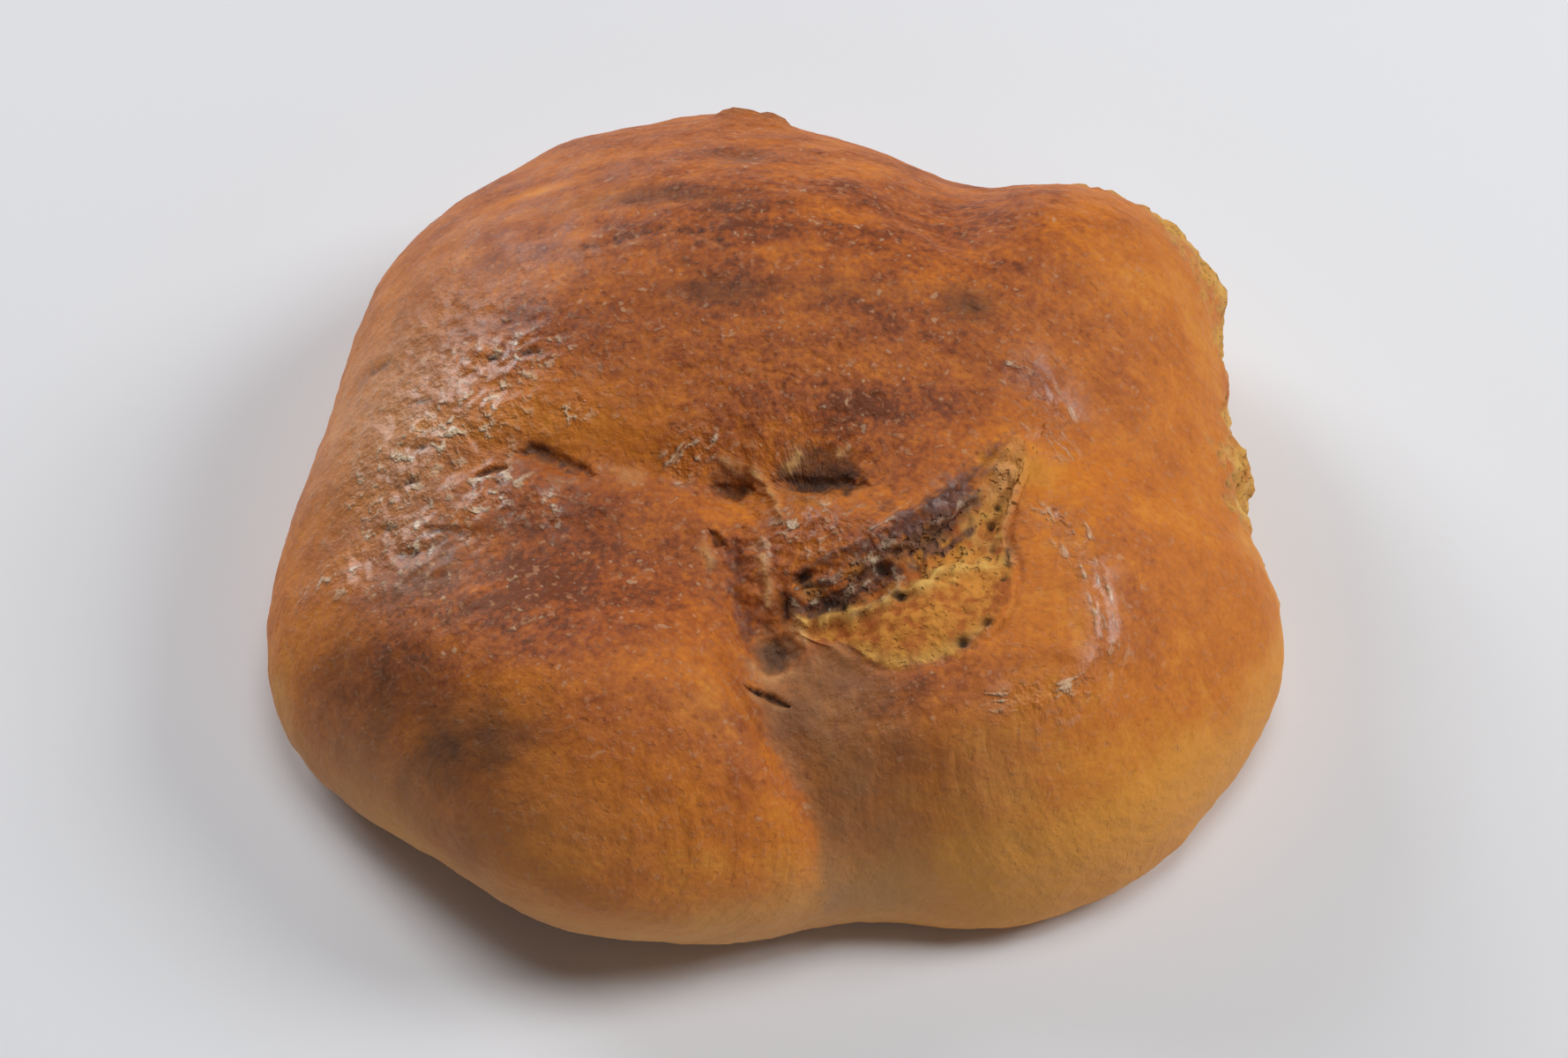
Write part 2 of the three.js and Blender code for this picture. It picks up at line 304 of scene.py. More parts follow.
for streak_path, half, lift, strength in STREAKS:
    away = beside(streak_path)[0] + 0.4 * waver + 0.5 * ragged_edge
    streak = bell(away / half) * on_top
    rise += lift * streak
    mark("pale", strength * streak * (0.75 + 0.9 * ragged_edge))
    mark("crumb", 0.7 * strength * streak)
RAGGED_MIDDLE = (-6, -31)
RAGGED_HALF = (9, 15)
ragged = bell(ellipse(RAGGED_MIDDLE, RAGGED_HALF)) * on_top
rise += ragged * (0.8 * lumps(3.2, 3, 7) + 0.4 * ragged_edge)

# The navel, where the folds meet, is a pit, greyed and darkened with painted shade.
NAVEL_MIDDLE = (-0.8, -47.8)
NAVEL_HALF = (4.0, 4.6)
NAVEL_DEPTH = 1.6
navel = bell(ellipse(NAVEL_MIDDLE, NAVEL_HALF) + 0.5 * waver + 0.35 * ragged_edge)
rise -= NAVEL_DEPTH * navel
mark("shade", navel)
mark("scorch", 0.75 * navel)
mark("hollow", 0.35 * navel * navel)

# The seam runs from the navel over the front edge. The left lobe overlaps the right one, whose flank is
# dulled and darkened with painted shade, most in the crease. The left lobe's edge along the seam is paler:
# painted light on its lit side.
SEAM = ((8, -90), (7.5, -83), (7.7, -78), (5.2, -73.7), (1.7, -69.8), (-1.3, -64.5), (-3.4, -58), (-6, -54))
seam, share = beside(SEAM)
seam = seam + 1.3 * waver + 0.9 * small_lumps
share = 1 - share
rise -= 1.1 * np.exp(-np.abs(seam) / 2.0) * fade(share, 0.85, 0.2) * on_top
rise += 0.8 * bell((seam - 5) / 4.5) * fade(share, 0, 0.2) * on_top
# Painted shade on the right lobe's flank and in the crease, and painted light on the left lobe's lit edge.
flank = fade(seam, 1.2, -1.8) * fade(seam, -32, -10) * fade(share, -0.02, 0.1) * fade(height, 8, 18)
mark("shade", flank * (0.8 + 0.35 * small_lumps))
mark("scorch", 0.25 * flank * bell((seam + 2) / 4) * fade(share, 0.25, 0.5))
masks["bake"] -= 0.12 * bell((seam - 4.5) / 4.5) * fade(share, 0.3, 0.55)

# Low on the front lobes the skin is dull and beige, in the tones that also paint shade and highlights: mask,
# middle, half sizes, bearing and strength.
DULL_PATCHES = (
    ("shade", (-50, -84), (26, 10), -12, 0.5),
    ("pale", (-82, -64), (24, 7), -42, 0.42),
    ("shade", (36, -72), (14, 9), 0, 0.5),
)
for name, centre, half, turn, strength in DULL_PATCHES:
    mark(name, strength * bell(ellipse(centre, half, turn)))

# The tear. The crust burst here in the oven: the crumb that opened is a crescent, its floor falls to the
# foot of the ear, and the ear's face is burnt. The crescent reaches out furthest in three lobes: bearing from
# its middle, spread in degrees, and how far past its least reach.
TEAR_MIDDLE = (28, -37)
TEAR_LEAST = 16.5
TEAR_LOBES = ((57, 15, 17), (184, 22, 9.5), (245, 35, 2.5))
EAR_CENTRE = (-7.6, 23.3)
EAR_RADIUS = 61
tear_radius = np.hypot(x - TEAR_MIDDLE[0], y - TEAR_MIDDLE[1])
tear_bearing = np.degrees(np.arctan2(y - TEAR_MIDDLE[1], x - TEAR_MIDDLE[0]))
tear_reach = TEAR_LEAST + sum(
    stands * bell(((tear_bearing - at + 180) % 360 - 180) / spread) for at, spread, stands in TEAR_LOBES
)
inside = tear_reach - tear_radius
ear_distance = np.hypot(x - EAR_CENTRE[0], y - EAR_CENTRE[1])
beyond = ear_distance - EAR_RADIUS
in_tear = fade(inside, -0.9, 0.3) * fade(beyond, -0.9, 0.1)
bare = fade(inside + 1.5 * waver + ragged_edge, -1.5, 2.0) * fade(beyond, -0.9, 0.6)
bare *= fade(-y, 13, 23)
mark("crumb", bare)

# The ear's face is a slope of burnt rags, which runs out on the floor. The burn fades up over the lip, and is
# darkest in a band just below it.
at_ear = fade(inside + 4.5 * fade(x, 24, 34), -3, 4)
rise += 1.6 * fade(beyond, 6, 0.3) * in_tear
rise += bell(beyond / 4) * at_ear * (0.4 * lumps(3.0, 3, 8) + 0.3 * ragged_edge)
burn_edge = beyond + 1.6 * waver + 1.2 * ragged_edge
burn_streaks = lumps(2.4, 3, 15, np.column_stack((beyond, tear_bearing * 0.07, 0 * height)))
burn = fade(burn_edge + 2.5 * burn_streaks, -13, -2) * at_ear * on_top
burn_foot = 2.5 + 3.5 * bell((x - 18) / 11)
burn *= fade(burn_edge - burn_foot, 5.5, 0)
burn *= 1 - fade(x, 34, 40) * fade(beyond, -1.5, 1.5)
mark("burnt", burn * (0.54 + 0.22 * fade(x, 8, 20) + 1.1 * burn_streaks))
dark_band = bell((burn_edge - 1.2) / 2.6) * fade(x, 8, 20) * fade(x, 41, 36)
mark("burnt", 0.95 * dark_band * at_ear * on_top)

# The crumb's flap swells up to the front, with a torn ridge along its upper edge. Behind the ridge the
# crumb is a dark tangle with painted glints on the left and full of pores, with painted shade in them, on the
# right, where it climbs to the tear's tip. The tip runs out level with the crust.
FLAP_MIDDLE = (23, -47.5)
FLAP_HALF = (17, 8)
FLAP_BEARING = 8
TIP_END = (43, -12.5)
TIP_END_HALF = (3.5, 4.5)
TIP_END_BEARING = -20
TIP_PALE = (42.5, -19)
TIP_PALE_HALF = (3.5, 8)
TIP_PALE_BEARING = -15
RIDGE = ((1, -41.6), (7, -41.6), (15, -41.8), (21, -41.3), (26.7, -39.2), (30, -36.6), (36, -34.3), (41, -35))
ridge, share = beside(RIDGE)
ridge = ridge + 1.1 * waver + 0.9 * ragged_edge
crumb_lumps = lumps(3.2, 3, 9)
behind = fade(ridge, 0.4, 2.2) * in_tear
rise += 2.0 * bell(ellipse(FLAP_MIDDLE, FLAP_HALF, FLAP_BEARING)) * in_tear
rise += 1.3 * bell(ridge / 1.5) * in_tear * fade(share, 1, 0.8)
rise += 1.5 * fade(inside, 8, 0) * in_tear * fade(x, 33, 40)
rise += bell(ellipse(TIP_END, TIP_END_HALF, TIP_END_BEARING))
rise += in_tear * 0.5 * crumb_lumps + behind * 0.6 * lumps(2.4, 2, 16)
mark("burnt", behind * fade(x, 33, 22) * (0.38 + 0.8 * crumb_lumps))
mark("pale", bell((ridge - 0.2) / 1.6) * in_tear * (0.75 + 0.8 * crumb_lumps))
mark("pale", 0.5 * behind * fade(x, 27, 36) * fade(-y, 9, 16) * fade(crumb_lumps, -0.3, 0.3))
mark("pale", 0.6 * bell(ellipse(TIP_PALE, TIP_PALE_HALF, TIP_PALE_BEARING)) * in_tear)
# Painted glints on the tangle.
mark("glint", 0.6 * behind * fade(x, 28, 18))
mark("porous", behind + (0.25 + 0.7 * bell(ridge / 2)) * in_tear)
mark("pale", 0.5 * bell((inside - 1.6) / 1.4) * in_tear * fade(-y, 46, 51))

# Holes in the tangle, and pits in a line where the crumb meets the crust on the right, each filled with
# painted shade: middle, half sizes.
HOLES = (
    ((4.5, -35.9), (2.0, 1.0)),
    ((9.2, -39.2), (1.8, 1.0)),
    ((12.3, -40.4), (1.2, 1.0)),
    ((19.4, -34.6), (1.5, 1.2)),
    ((22.6, -40.3), (1.5, 0.8)),
    ((1.4, -39), (1.1, 1.8)),
    ((43.2, -33), (0.8, 2.2)),
    ((41.9, -38.4), (0.7, 1.2)),
    ((41.4, -21.2), (0.6, 0.6)),
    ((40.4, -25), (0.7, 0.8)),
    ((40.3, -31), (0.8, 1.0)),
    ((38.6, -47.9), (1.2, 1.0)),
    ((33.9, -51.2), (1.3, 0.9)),
)
for hole_middle, half in HOLES:
    hole = bell(ellipse(hole_middle, half) + 0.3 * ragged_edge) * on_top
    rise -= 1.2 * hole
    mark("hollow", 1.1 * hole)

# Below the flap on the left the crust is undercut, with painted shade under its lip.
UNDERCUT = ((6, -44), (10, -49.8), (14, -53), (21, -55.6))
undercut, share = beside(UNDERCUT)
rise -= 0.9 * bell((undercut + 1) / 2.2) * on_top * fade(share, 1, 0.6)
mark("shade", 0.4 * bell((undercut + 2.4) / 3.4) * on_top * fade(share, 1, 0.6))

# The torn side, where the loaf stuck to its neighbour: rough bare crumb along the girth, with some holes
# filled with painted shade. It covers the steep part of the side, climbs towards the back and at its front
# end, and the crust comes down over it in between. Bearings are in degrees round the loaf.
TORN_FRONT = 4
TORN_DIP = 16
TORN_CLIMB = 0.0034
round_bearing = np.degrees(np.arctan2(y, x))
torn_ends = fade(round_bearing + 7 * small_lumps, -8, 1)
torn_ends *= fade(-round_bearing + 7 * small_lumps, -58, -48)
out_of_side = (normals[:, 0] * x + normals[:, 1] * y) / np.maximum(np.hypot(x, y), 1)
out_of_side += TORN_CLIMB * np.clip(round_bearing, 0, 60) + 0.1 * small_lumps + 0.08 * ragged_edge
out_of_side += 0.08 * bell((round_bearing - TORN_FRONT) / 4)
out_of_side -= 0.14 * bell((round_bearing - TORN_DIP) / 6) * fade(height, 24, 36)
torn = torn_ends * fade(out_of_side, 0.8, 0.9) * fade(height, 9, 16) * fade(-height, -62, -50)
rise += torn * (1.3 * lumps(6, 3, 10) + 0.9 * (0.35 - np.abs(lumps(3.6, 2, 11))))
mark("crumb", torn)
mark("pale", torn * (0.6 + 0.5 * crumb_lumps))
mark("porous", 0.7 * torn)
torn_holes = torn * fade(lumps(5, 3, 21), 0.16, 0.5)
rise -= 1.4 * torn_holes
mark("hollow", 0.35 * torn_holes)

# The left shoulder's skin is shiny, with a beige tint of painted sheen, and clusters of fine crinkles with
# painted glints, given by middle and half sizes, and a few nicks with painted shade, given by middle and half
# length.
SHINY_MIDDLE = (-66, 0)
SHINY_HALF = (22, 29)
SHINY_BEARING = 15
SHEEN_TINT_MIDDLE = (-76, 2)
SHEEN_TINT_HALF = (17, 34)
SHEEN_TINT_BEARING = 10
SATIN_MIDDLE = (-50, 45)
SATIN_HALF = (36, 34)
SATIN_BEARING = 35
CLUSTERS = (
    ((-66, -3), (6, 4)),
    ((-74, -11), (6, 6)),
    ((-72, -24), (8, 4.5)),
    ((-55, -17), (5.5, 3.5)),
    ((-56, 0), (4, 4.5)),
    ((-53, 9.5), (8, 3.5)),
    ((-43, -21), (1.5, 3)),
    ((-39.5, -3), (2, 1.5)),
    ((-82, -27), (6, 3)),
)
crinkles = np.abs(lumps(4.6, 2, 12))
shiny = bell(ellipse(SHINY_MIDDLE, SHINY_HALF, SHINY_BEARING)) * on_top * fade(y, -46, -16)
clustered = np.zeros(len(points))
for centre, half in CLUSTERS:
    clustered = np.maximum(clustered, bell(0.7 * ellipse(centre, half) + 0.6 * waver))
clustered *= on_top
rise += shiny * (0.3 * crinkles + 0.5 * lumps(6, 2, 17)) + 0.45 * clustered * (crinkles - 0.2)
mark("gloss", 0.7 * shiny + 0.6 * clustered)
mark("glint", clustered + 0.25 * shiny)
# A beige tint of painted sheen.
mark("pale", 0.36 * bell(ellipse(SHEEN_TINT_MIDDLE, SHEEN_TINT_HALF, SHEEN_TINT_BEARING)) * on_top)
satin = bell(ellipse(SATIN_MIDDLE, SATIN_HALF, SATIN_BEARING))
mark("gloss", 0.25 * satin * fade(small_lumps, -0.3, 0.3))
NICK_HALF_WIDTH = 0.9
NICK_BEARING = -10
NICKS = (
    ((-69.8, -4.7), 1.3),
    ((-70.9, -11.4), 1.3),
    ((-81, 20.6), 2.2),
    ((-70.5, 5.8), 1.8),
    ((-70.3, -26.7), 3.0),
    ((-64.5, -23), 3.5),
    ((-75.3, -19.7), 1.4),
    ((-48.4, 9.7), 1.6),
    ((-55.5, 10.5), 1.6),
)
for nick_middle, long_half in NICKS:
    nick = bell(ellipse(nick_middle, (long_half, NICK_HALF_WIDTH), NICK_BEARING) + 0.3 * ragged_edge)
    rise -= 0.5 * nick
    mark("hollow", 0.75 * nick)

# Below the shoulder the skin is drawn into lines that run up towards the navel.
DRAWN_MIDDLE = (-62, -38)
DRAWN_HALF = (30, 20)
DRAWN_BEARING = 25
drawn_turn = math.radians(DRAWN_BEARING)
drawn_along = x * math.cos(drawn_turn) + y * math.sin(drawn_turn)
drawn_across = y * math.cos(drawn_turn) - x * math.sin(drawn_turn)
drawn = np.abs(lumps(3.8, 2, 14, np.column_stack((drawn_along / 4, drawn_across, height * 0.5))))
rise += 0.7 * (drawn - 0.2) * bell(ellipse(DRAWN_MIDDLE, DRAWN_HALF, DRAWN_BEARING)) * on_top

# The roll round the tear and the crust behind it are drawn into thin shiny wrinkles with painted glints, and
# so are two places of the ragged dough: path, half width and strength.
ROLLS = (
    (((50, -20), (55.6, -30.8), (58.4, -38.5), (60.1, -45.2), (60.4, -50), (59, -55)), 3.6, 0.9),
    (((60, -52), (57, -57), (53.5, -60), (47.7, -62.7), (37, -63)), 3.0, 0.8),
    (((43, 8), (49.5, 6), (53, 2.5), (55.5, -3)), 4.5, 0.8),
    (((47, -2), (52, -6), (56, -12)), 3.0, 0.8),
    (((-21.5, -14.6), (-17, -11.2), (-11.5, -7.4)), 3.0, 1.0),
    (((4, -34), (14, -31.8), (22, -28), (30, -22.6), (36, -17.5)), 2.6, 0.45),
)
roll_flow = np.zeros_like(points)
for number, (roll_path, half, strength) in enumerate(ROLLS):
    away, share = beside(roll_path)
    run_along = share * np.hypot(*np.diff(np.array(roll_path), axis=0).T).sum()
    rolled = strength * bell(away / half) * fade(share * (1 - share), 0, 0.1) * on_top
    drawn_course = np.column_stack((away / 3.4, run_along / 16, height * 0.02))
    rise += 0.45 * rolled * lumps(1.0, 2, 20 + number, drawn_course)
    roll_course = np.column_stack((away + 0.5 * waver, run_along / 6, 0 * height + 7 * number))
    roll_flow = np.where((rolled > masks["rolls"])[:, None], roll_course, roll_flow)
    mark("rolls", rolled)
    mark("gloss", 0.9 * rolled)

# A tongue of lumpy, shiny dough with painted glints lies behind the left end of the ear.
TONGUE_MIDDLE = (5, -26.5)
TONGUE_HALF = (8, 6)
TONGUE_BEARING = 25
tongue = bell(ellipse(TONGUE_MIDDLE, TONGUE_HALF, TONGUE_BEARING)) * on_top
rise += tongue * (0.5 * lumps(2.6, 2, 13) + 0.3)
mark("gloss", 0.7 * tongue)
mark("glint", tongue)

# A crusty knob stands on the back edge.
KNOB_MIDDLE = (-6, 98)
knob = fade(np.abs(x - KNOB_MIDDLE[0]) + 1.2 * waver, 8.5, 5.5) * bell((y - KNOB_MIDDLE[1]) / 7)
knob *= fade(height, 30, 42)
rise += knob * (1.5 + ragged_edge)
mark("scorch", 0.5 * knob * fade(ragged_edge, -0.4, 0.3))

# The front is paler towards the foot, and less so on the right: partly paler crust and partly painted light.
low_front = fade(-height, -36, -8) * fade(-y, 20, 60)
mark("pale", 0.52 * low_front * (1 - 0.6 * fade(x, 10, 45)))

# The finished crust, with the masks and the courses of the wrinkles as its attributes. The solid's own
# normals and colours don't fit it, so they are removed.
masks["bake"] = np.clip(masks["bake"] + 0.1 * big_lumps, 0, 1)
points += (normals * rise[:, None] + push) * off_base[:, None]
for vert, moved in zip(dough.verts, points * MM):
    vert.co = moved
bmesh.ops.recalc_face_normals(dough, faces=dough.faces)
loaf_mesh = bpy.data.meshes.new("loaf_crust")
dough.to_mesh(loaf_mesh)
dough.free()
for layer in [a.name for a in loaf_mesh.attributes if a.name in ("custom_normal", "Color", "COLOR_0")]:
    loaf_mesh.attributes.remove(loaf_mesh.attributes[layer])
for name, share in masks.items():
    loaf_mesh.attributes.new(name, "FLOAT", "POINT").data.foreach_set("value", share.astype(np.float32))
for name, course in (("flow", skin_flow), ("roll_flow", roll_flow)):
    course_layer = loaf_mesh.attributes.new(name, "FLOAT_VECTOR", "POINT")
    course_layer.data.foreach_set("vector", (course * MM).astype(np.float32).ravel())
loaf_mesh.shade_smooth()
loaf = bpy.data.objects.new("loaf_crust", loaf_mesh)
bpy.context.scene.collection.objects.link(loaf)


class Shade:
    """A value in a material's nodes: arithmetic on it adds Math nodes, and node() adds any other node."""

    def __init__(self, tree, socket):
        self.tree = tree
        self.socket = socket

    def node(self, kind, settings, inputs, output=0):
        made = self.tree.nodes.new(kind)
        for name, value in settings.items():
            if name == "stops":
                while len(made.color_ramp.elements) < len(value):
                    made.color_ramp.elements.new(1)
                for element, (position, colour) in zip(made.color_ramp.elements, value):
                    element.position = position
                    element.color = colour
            else:
                setattr(made, name, value)
        for key, value in inputs.items():
            if isinstance(value, Shade):
                self.tree.links.new(value.socket, made.inputs[key])
            else:
                made.inputs[key].default_value = value
        return Shade(self.tree, made.outputs[output])

    def vector(self, operation, *values):
        return self.node("ShaderNodeVectorMath", {"operation": operation}, dict(enumerate(values)))

    def math(self, operation, *values):
        return self.node("ShaderNodeMath", {"operation": operation}, dict(enumerate(values)))

    def __add__(self, other):
        return self.math("ADD", self, other)

    __radd__ = __add__

    def __mul__(self, other):
        return self.math("MULTIPLY", self, other)

    __rmul__ = __mul__

    def __sub__(self, other):
        return self.math("SUBTRACT", self, other)

    def __rsub__(self, other):
        return self.math("SUBTRACT", other, self)

    def fade(self, start, end):
        inputs = {"Value": self, "From Min": start, "From Max": end}
        return self.node("ShaderNodeMapRange", {"interpolation_type": "SMOOTHSTEP"}, inputs)

    def mix(self, without, full):
        settings = {"data_type": "RGBA", "clamp_factor": True}
        return self.node("ShaderNodeMix", settings, {0: self, 6: without, 7: full}, 2)


def paint(red, green, blue):
    """A colour from its sRGB values of 0 to 255."""
    shares = [value / 255 for value in (red, green, blue)]
    return (*[s / 12.92 if s <= 0.04045 else ((s + 0.055) / 1.055) ** 2.4 for s in shares], 1)


# The crust's material reads the masks, and noise on the loaf's coordinates and on its wrinkles' courses.
crust = bpy.data.materials.new("baked_crust")
crust.use_nodes = True
tree = crust.node_tree
tree.nodes.clear()
surface = tree.nodes.new("ShaderNodeBsdfPrincipled")
output = tree.nodes.new("ShaderNodeOutputMaterial")
tree.links.new(surface.outputs["BSDF"], output.inputs["Surface"])
coordinates = tree.nodes.new("ShaderNodeTexCoord")
place = Shade(tree, coordinates.outputs["Object"])
flow = place.node("ShaderNodeAttribute", {"attribute_name": "flow"}, {}, "Vector")
along_roll = place.node("ShaderNodeAttribute", {"attribute_name": "roll_flow"}, {}, "Vector")
mask = {name: place.node("ShaderNodeAttribute", {"attribute_name": name}, {}, "Fac") for name in MASKS}


def speckle(vector, scale, detail=3.0, shift=0.0):
    """Noise about zero."""
    moved = place.vector("ADD", vector, (shift, shift, shift))
    return place.node("ShaderNodeTexNoise", {}, {"Vector": moved, "Scale": scale, "Detail": detail}) - 0.5


# Noise of every size: clouds and mottling of the browning, flecks and dust, streaks along the stretched skin,
# pale grains that are partly painted glints, specks of painted glints, dark grains, pores of the crumb, and
# the painted glints of crinkles and wrinkles.
clouds = speckle(place, 42)
mottle = speckle(place, 150, 4)
fleck = speckle(place, 480, 3)
dust = speckle(place, 950, 2)
streaks = mask["stretch"] * speckle(flow, 260, 3)
fine_streaks = mask["stretch"] * speckle(flow, 700, 2)
pale_grains_and_glints = (speckle(place, 620, 2, 1) + 0.5 * dust + 0.3 * mottle).fade(0.06, 0.28)
glint_specks = (speckle(place, 480, 1, 7) + 0.4 * dust).fade(0.19, 0.27)
dark_grains = (speckle(place, 420, 3, 2) + 0.4 * dust).fade(0.12, 0.26)
pores = (speckle(place, 800, 1, 3) + 0.5 * mottle + 0.3 * clouds).fade(0.1, 0.26)
creases = place.math("ABSOLUTE", speckle(place, 420, 2, 4))
roll_streaks = speckle(along_roll, 760, 2) + 0.5 * fleck
glints = (speckle(place, 400, 2, 5) + 0.3 * dust).fade(0.03, 0.2) * mask["glint"]
glints = glints + mask["rolls"] * roll_streaks.fade(0.05, 0.24)
smudges = speckle(place.vector("MULTIPLY", place, (0.3, 1, 0.8)), 130, 3, 6)

# The colours, one over the other: crust from gold to dark brown, its grains and specks of painted glints,
# dull and scorched skin that also paint shade, the crumb and its pores' painted shade, pale dough and crumb
# that also paint highlights and sheen, char that also paints shade, painted glints and the painted shade of
# holes and cracks.
CRUST_STOPS = (
    (0.0, paint(226, 150, 56)),
    (0.28, paint(210, 122, 41)),
    (0.55, paint(184, 101, 40)),
    (0.8, paint(155, 80, 38)),
    (1.0, paint(118, 61, 33)),
)
PALE_GRAIN_AND_GLINT = paint(208, 148, 104)
GLINT_SPECK = paint(228, 190, 150)
DARK_GRAIN = paint(92, 56, 36)
DULL_SKIN_AND_SHADE = paint(176, 128, 84)
SCORCHED_AND_SHADED = paint(88, 60, 42)
BROWN_CRUMB = paint(176, 96, 40)
GOLD_CRUMB = paint(214, 142, 60)
PORE_SHADE = paint(96, 64, 34)
PALE_SKIN_AND_HIGHLIGHT = paint(216, 170, 124)
PALE_CRUMB = paint(228, 178, 94)
CHAR_AND_SHADE = paint(54, 40, 44)
CHAR_FLAKE = paint(114, 78, 70)
GLINT = paint(240, 216, 180)
HOLLOW_SHADE = paint(58, 40, 32)
uneven = 0.5 * mottle + 0.4 * streaks + 0.5 * fleck + 0.55 * dust + 0.3 * fine_streaks + 0.7 * smudges
browned = mask["bake"] + 0.45 * clouds + uneven * (0.2 + 1.5 * mask["bake"])
skin = browned.node("ShaderNodeValToRGB", {"stops": CRUST_STOPS}, {"Fac": browned})
# Pale grains, partly painted glints, and specks of painted glints.
skin = (pale_grains_and_glints * (0.2 + 0.35 * mask["bake"])).mix(skin, PALE_GRAIN_AND_GLINT)
skin = (0.5 * glint_specks * mask["bake"]).mix(skin, GLINT_SPECK)
skin = (0.4 * dark_grains * mask["bake"]).mix(skin, DARK_GRAIN)
# Dull skin and painted shade.
skin = (0.7 * mask["shade"]).mix(skin, DULL_SKIN_AND_SHADE)
# Scorched crust and painted shade.
skin = (mask["scorch"] + mottle * mask["scorch"]).mix(skin, SCORCHED_AND_SHADED)
crumb_tone = (0.7 * fleck + mottle + 0.6 * clouds).fade(-0.16, 0.16).mix(BROWN_CRUMB, GOLD_CRUMB)
# Painted shade in the crumb's pores.
crumb_tone = (0.75 * pores * mask["porous"]).mix(crumb_tone, PORE_SHADE)
skin = (mask["crumb"] + 0.5 * fleck).fade(0.25, 0.75).mix(skin, crumb_tone)
# Pale dough and crumb, and painted sheen and highlights.
pale_and_highlight_tone = mask["crumb"].mix(PALE_SKIN_AND_HIGHLIGHT, PALE_CRUMB)
skin = (mask["pale"] + 0.9 * fleck * mask["pale"]).mix(skin, pale_and_highlight_tone)
# Char, and painted shade in the slot.
char_and_shade = mask["burnt"] + (1.3 * fleck + 0.8 * mottle) * mask["burnt"].fade(0.0, 0.3)
char_and_shade_tone = fleck.fade(-0.1, 0.15).mix(CHAR_AND_SHADE, CHAR_FLAKE)
skin = (0.84 * char_and_shade.fade(0.15, 1.0)).mix(skin, char_and_shade_tone)
# Painted glints.
skin = (0.8 * glints).mix(skin, GLINT)
# Painted shade in holes, cracks, slits and nicks.
ragged_hollow_shade = mask["hollow"] + (6 * fleck + 3 * dust) * mask["hollow"] * (1 - mask["hollow"])
skin = (0.92 * ragged_hollow_shade).mix(skin, HOLLOW_SHADE)
tree.links.new(skin.socket, surface.inputs["Base Color"])

# The crust is satin, with a thin shine on the crinkled skin and the wrinkles. The crumb is matt.
shine = mask["gloss"] * (0.85 + 1.2 * fleck) + 0.3 * glints
rough = 0.6 - 0.34 * shine + 0.25 * mask["crumb"] + 0.3 * mottle
tree.links.new(rough.socket, surface.inputs["Roughness"])
tree.links.new((0.9 * shine).socket, surface.inputs["Coat Weight"])
surface.inputs["Coat Roughness"].default_value = 0.28
surface.inputs["Specular IOR Level"].default_value = 0.24

# Relief that is too fine for the mesh: grain, streaks, crinkles and pores.
GRAIN_DEPTH = 1.4 * MM
relief = 0.35 * fleck + 0.1 * dust + 0.6 * streaks + 0.25 * fine_streaks + 0.06 * pale_grains_and_glints
relief = relief - 0.1 * dark_grains + 0.45 * glints
relief = relief + mask["gloss"] * (0.6 * fleck + creases) - 0.7 * pores * mask["porous"]
bump = relief.node("ShaderNodeBump", {}, {"Height": relief, "Strength": 0.8, "Distance": GRAIN_DEPTH})
tree.links.new(bump.socket, surface.inputs["Normal"])

loaf_mesh.materials.clear()
loaf_mesh.materials.append(crust)
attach(loaf, "root")
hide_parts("loaf")

# The table
# A plain sheet of pale matt card under the loaf, wide enough to fill the view.
CARD_REACH = 3
card_mesh = bpy.data.meshes.new("card")
sheet = bmesh.new()
bmesh.ops.create_grid(sheet, x_segments=2, y_segments=2, size=CARD_REACH)
sheet.to_mesh(card_mesh)
sheet.free()
card = bpy.data.objects.new("card", card_mesh)
bpy.context.scene.collection.objects.link(card)
card_paint = bpy.data.materials.new("pale_card")
card_paint.use_nodes = True
card_surface = card_paint.node_tree.nodes["Principled BSDF"]
card_surface.inputs["Base Color"].default_value = paint(236, 237, 240)
card_surface.inputs["Roughness"].default_value = 0.9
card_surface.inputs["Specular IOR Level"].default_value = 0.1
card_mesh.materials.append(card_paint)

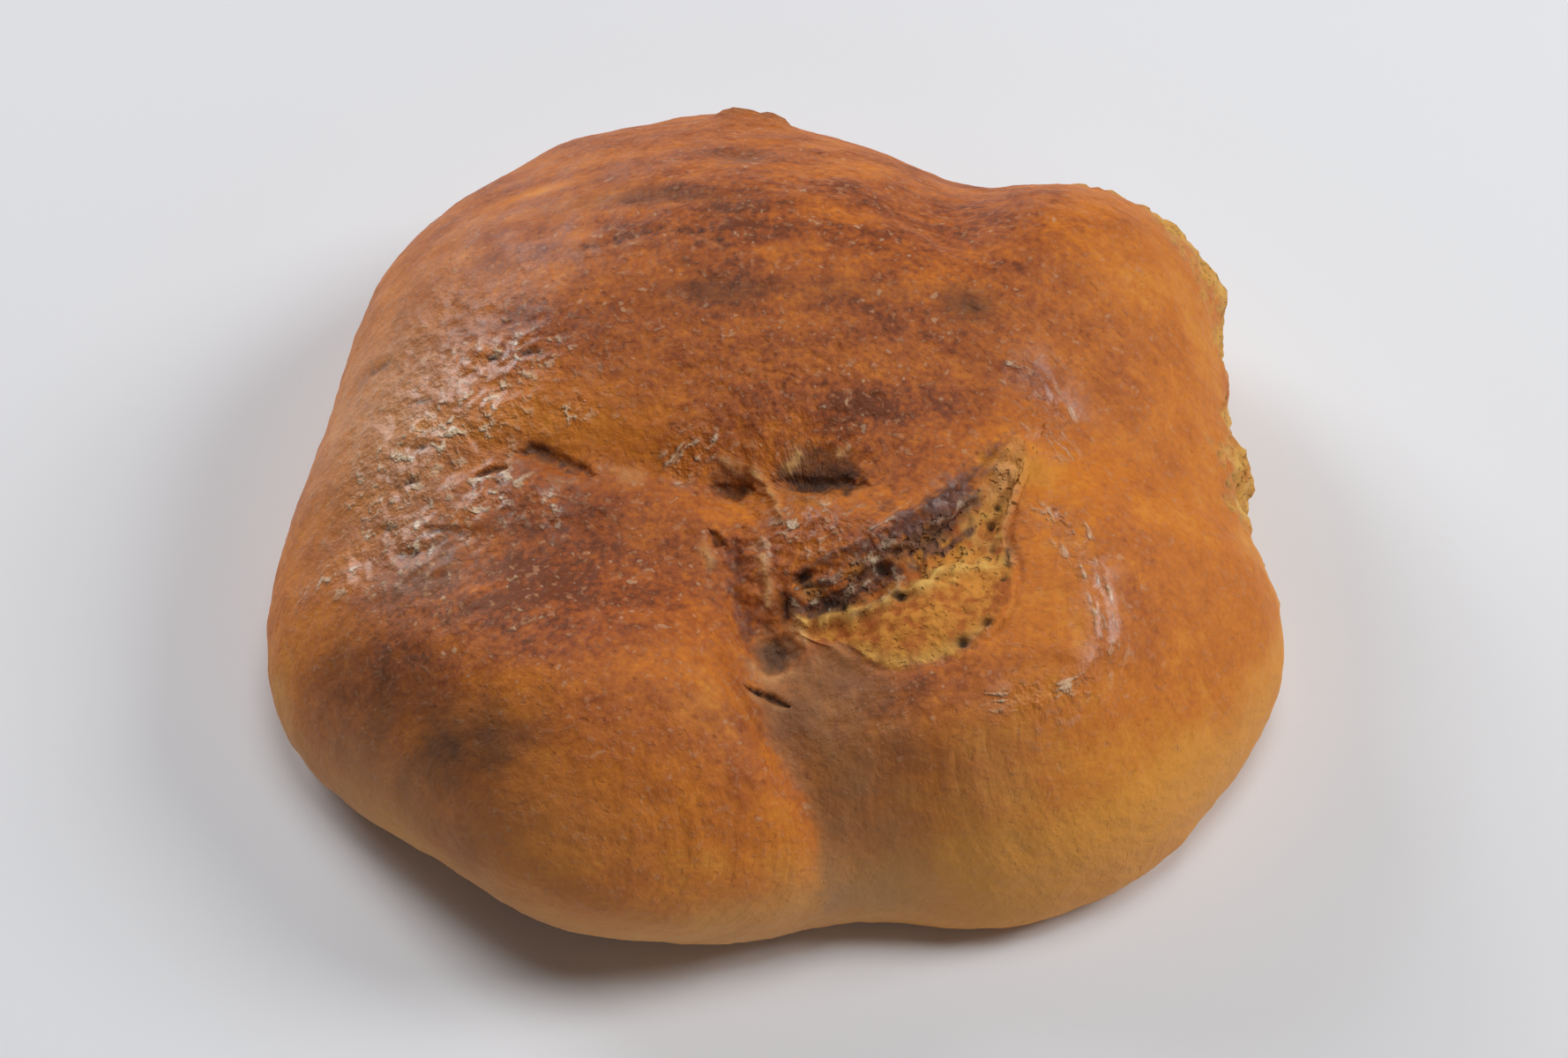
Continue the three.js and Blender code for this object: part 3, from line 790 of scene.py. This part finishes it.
# The light
# Soft studio light: a wide one overhead, a key from the right, two from the left and the back left that
# shine on the left shoulder, a weak, low one from the front right, and a trace of even sky. Each lamp is a
# disc: the direction it stands in, its diameter in metres and its power in watts.
LAMP_DISTANCE = 1.8
COOL = (0.95, 0.97, 1)
LESS_COOL = (0.97, 0.98, 1)
world = bpy.data.worlds.new("studio")
world.use_nodes = True
sky = world.node_tree.nodes["Background"]
sky.inputs["Color"].default_value = (*COOL, 1)
sky.inputs["Strength"].default_value = 0.03
bpy.context.scene.world = world


def lamp(name, towards, size, power, colour=(1, 1, 1)):
    light = bpy.data.lights.new(name, "AREA")
    light.shape = "DISK"
    light.size = size
    light.energy = power
    light.color = colour
    made = bpy.data.objects.new(name, light)
    made.location = Vector(towards).normalized() * LAMP_DISTANCE
    made.rotation_mode = "QUATERNION"
    made.rotation_quaternion = Vector(towards).to_track_quat("Z", "Y")
    bpy.context.scene.collection.objects.link(made)


lamp("overhead", (0.1, 0.06, 1), 0.8, 9.5)
lamp("front", (0.42, -0.86, 0.28), 0.8, 2.2)
lamp("key", (0.76, 0.09, 0.64), 0.8, 15.4)
lamp("back_left", (-0.48, 0.83, 0.3), 0.9, 7, COOL)
lamp("left", (-0.6, 0.55, 0.58), 0.8, 10, LESS_COOL)

# The camera
# It looks down at the loaf's front from about fifty degrees above the table, as in the photograph.
ELEVATION = math.radians(52)
LENS = 65
SENSOR = 36
DISTANCE = 572 * MM
AIM = Vector((1.0, -3.2, 28.5)) * MM
camera_data = bpy.data.cameras.new("camera")
camera_data.lens = LENS
camera_data.sensor_width = SENSOR
camera = bpy.data.objects.new("camera", camera_data)
towards_camera = Vector((0, -math.cos(ELEVATION), math.sin(ELEVATION)))
camera.location = AIM + towards_camera * DISTANCE
camera.rotation_mode = "QUATERNION"
camera.rotation_quaternion = (-towards_camera).to_track_quat("-Z", "Y")
bpy.context.scene.collection.objects.link(camera)
bpy.context.scene.camera = camera
bpy.context.scene.view_settings.view_transform = "Standard"
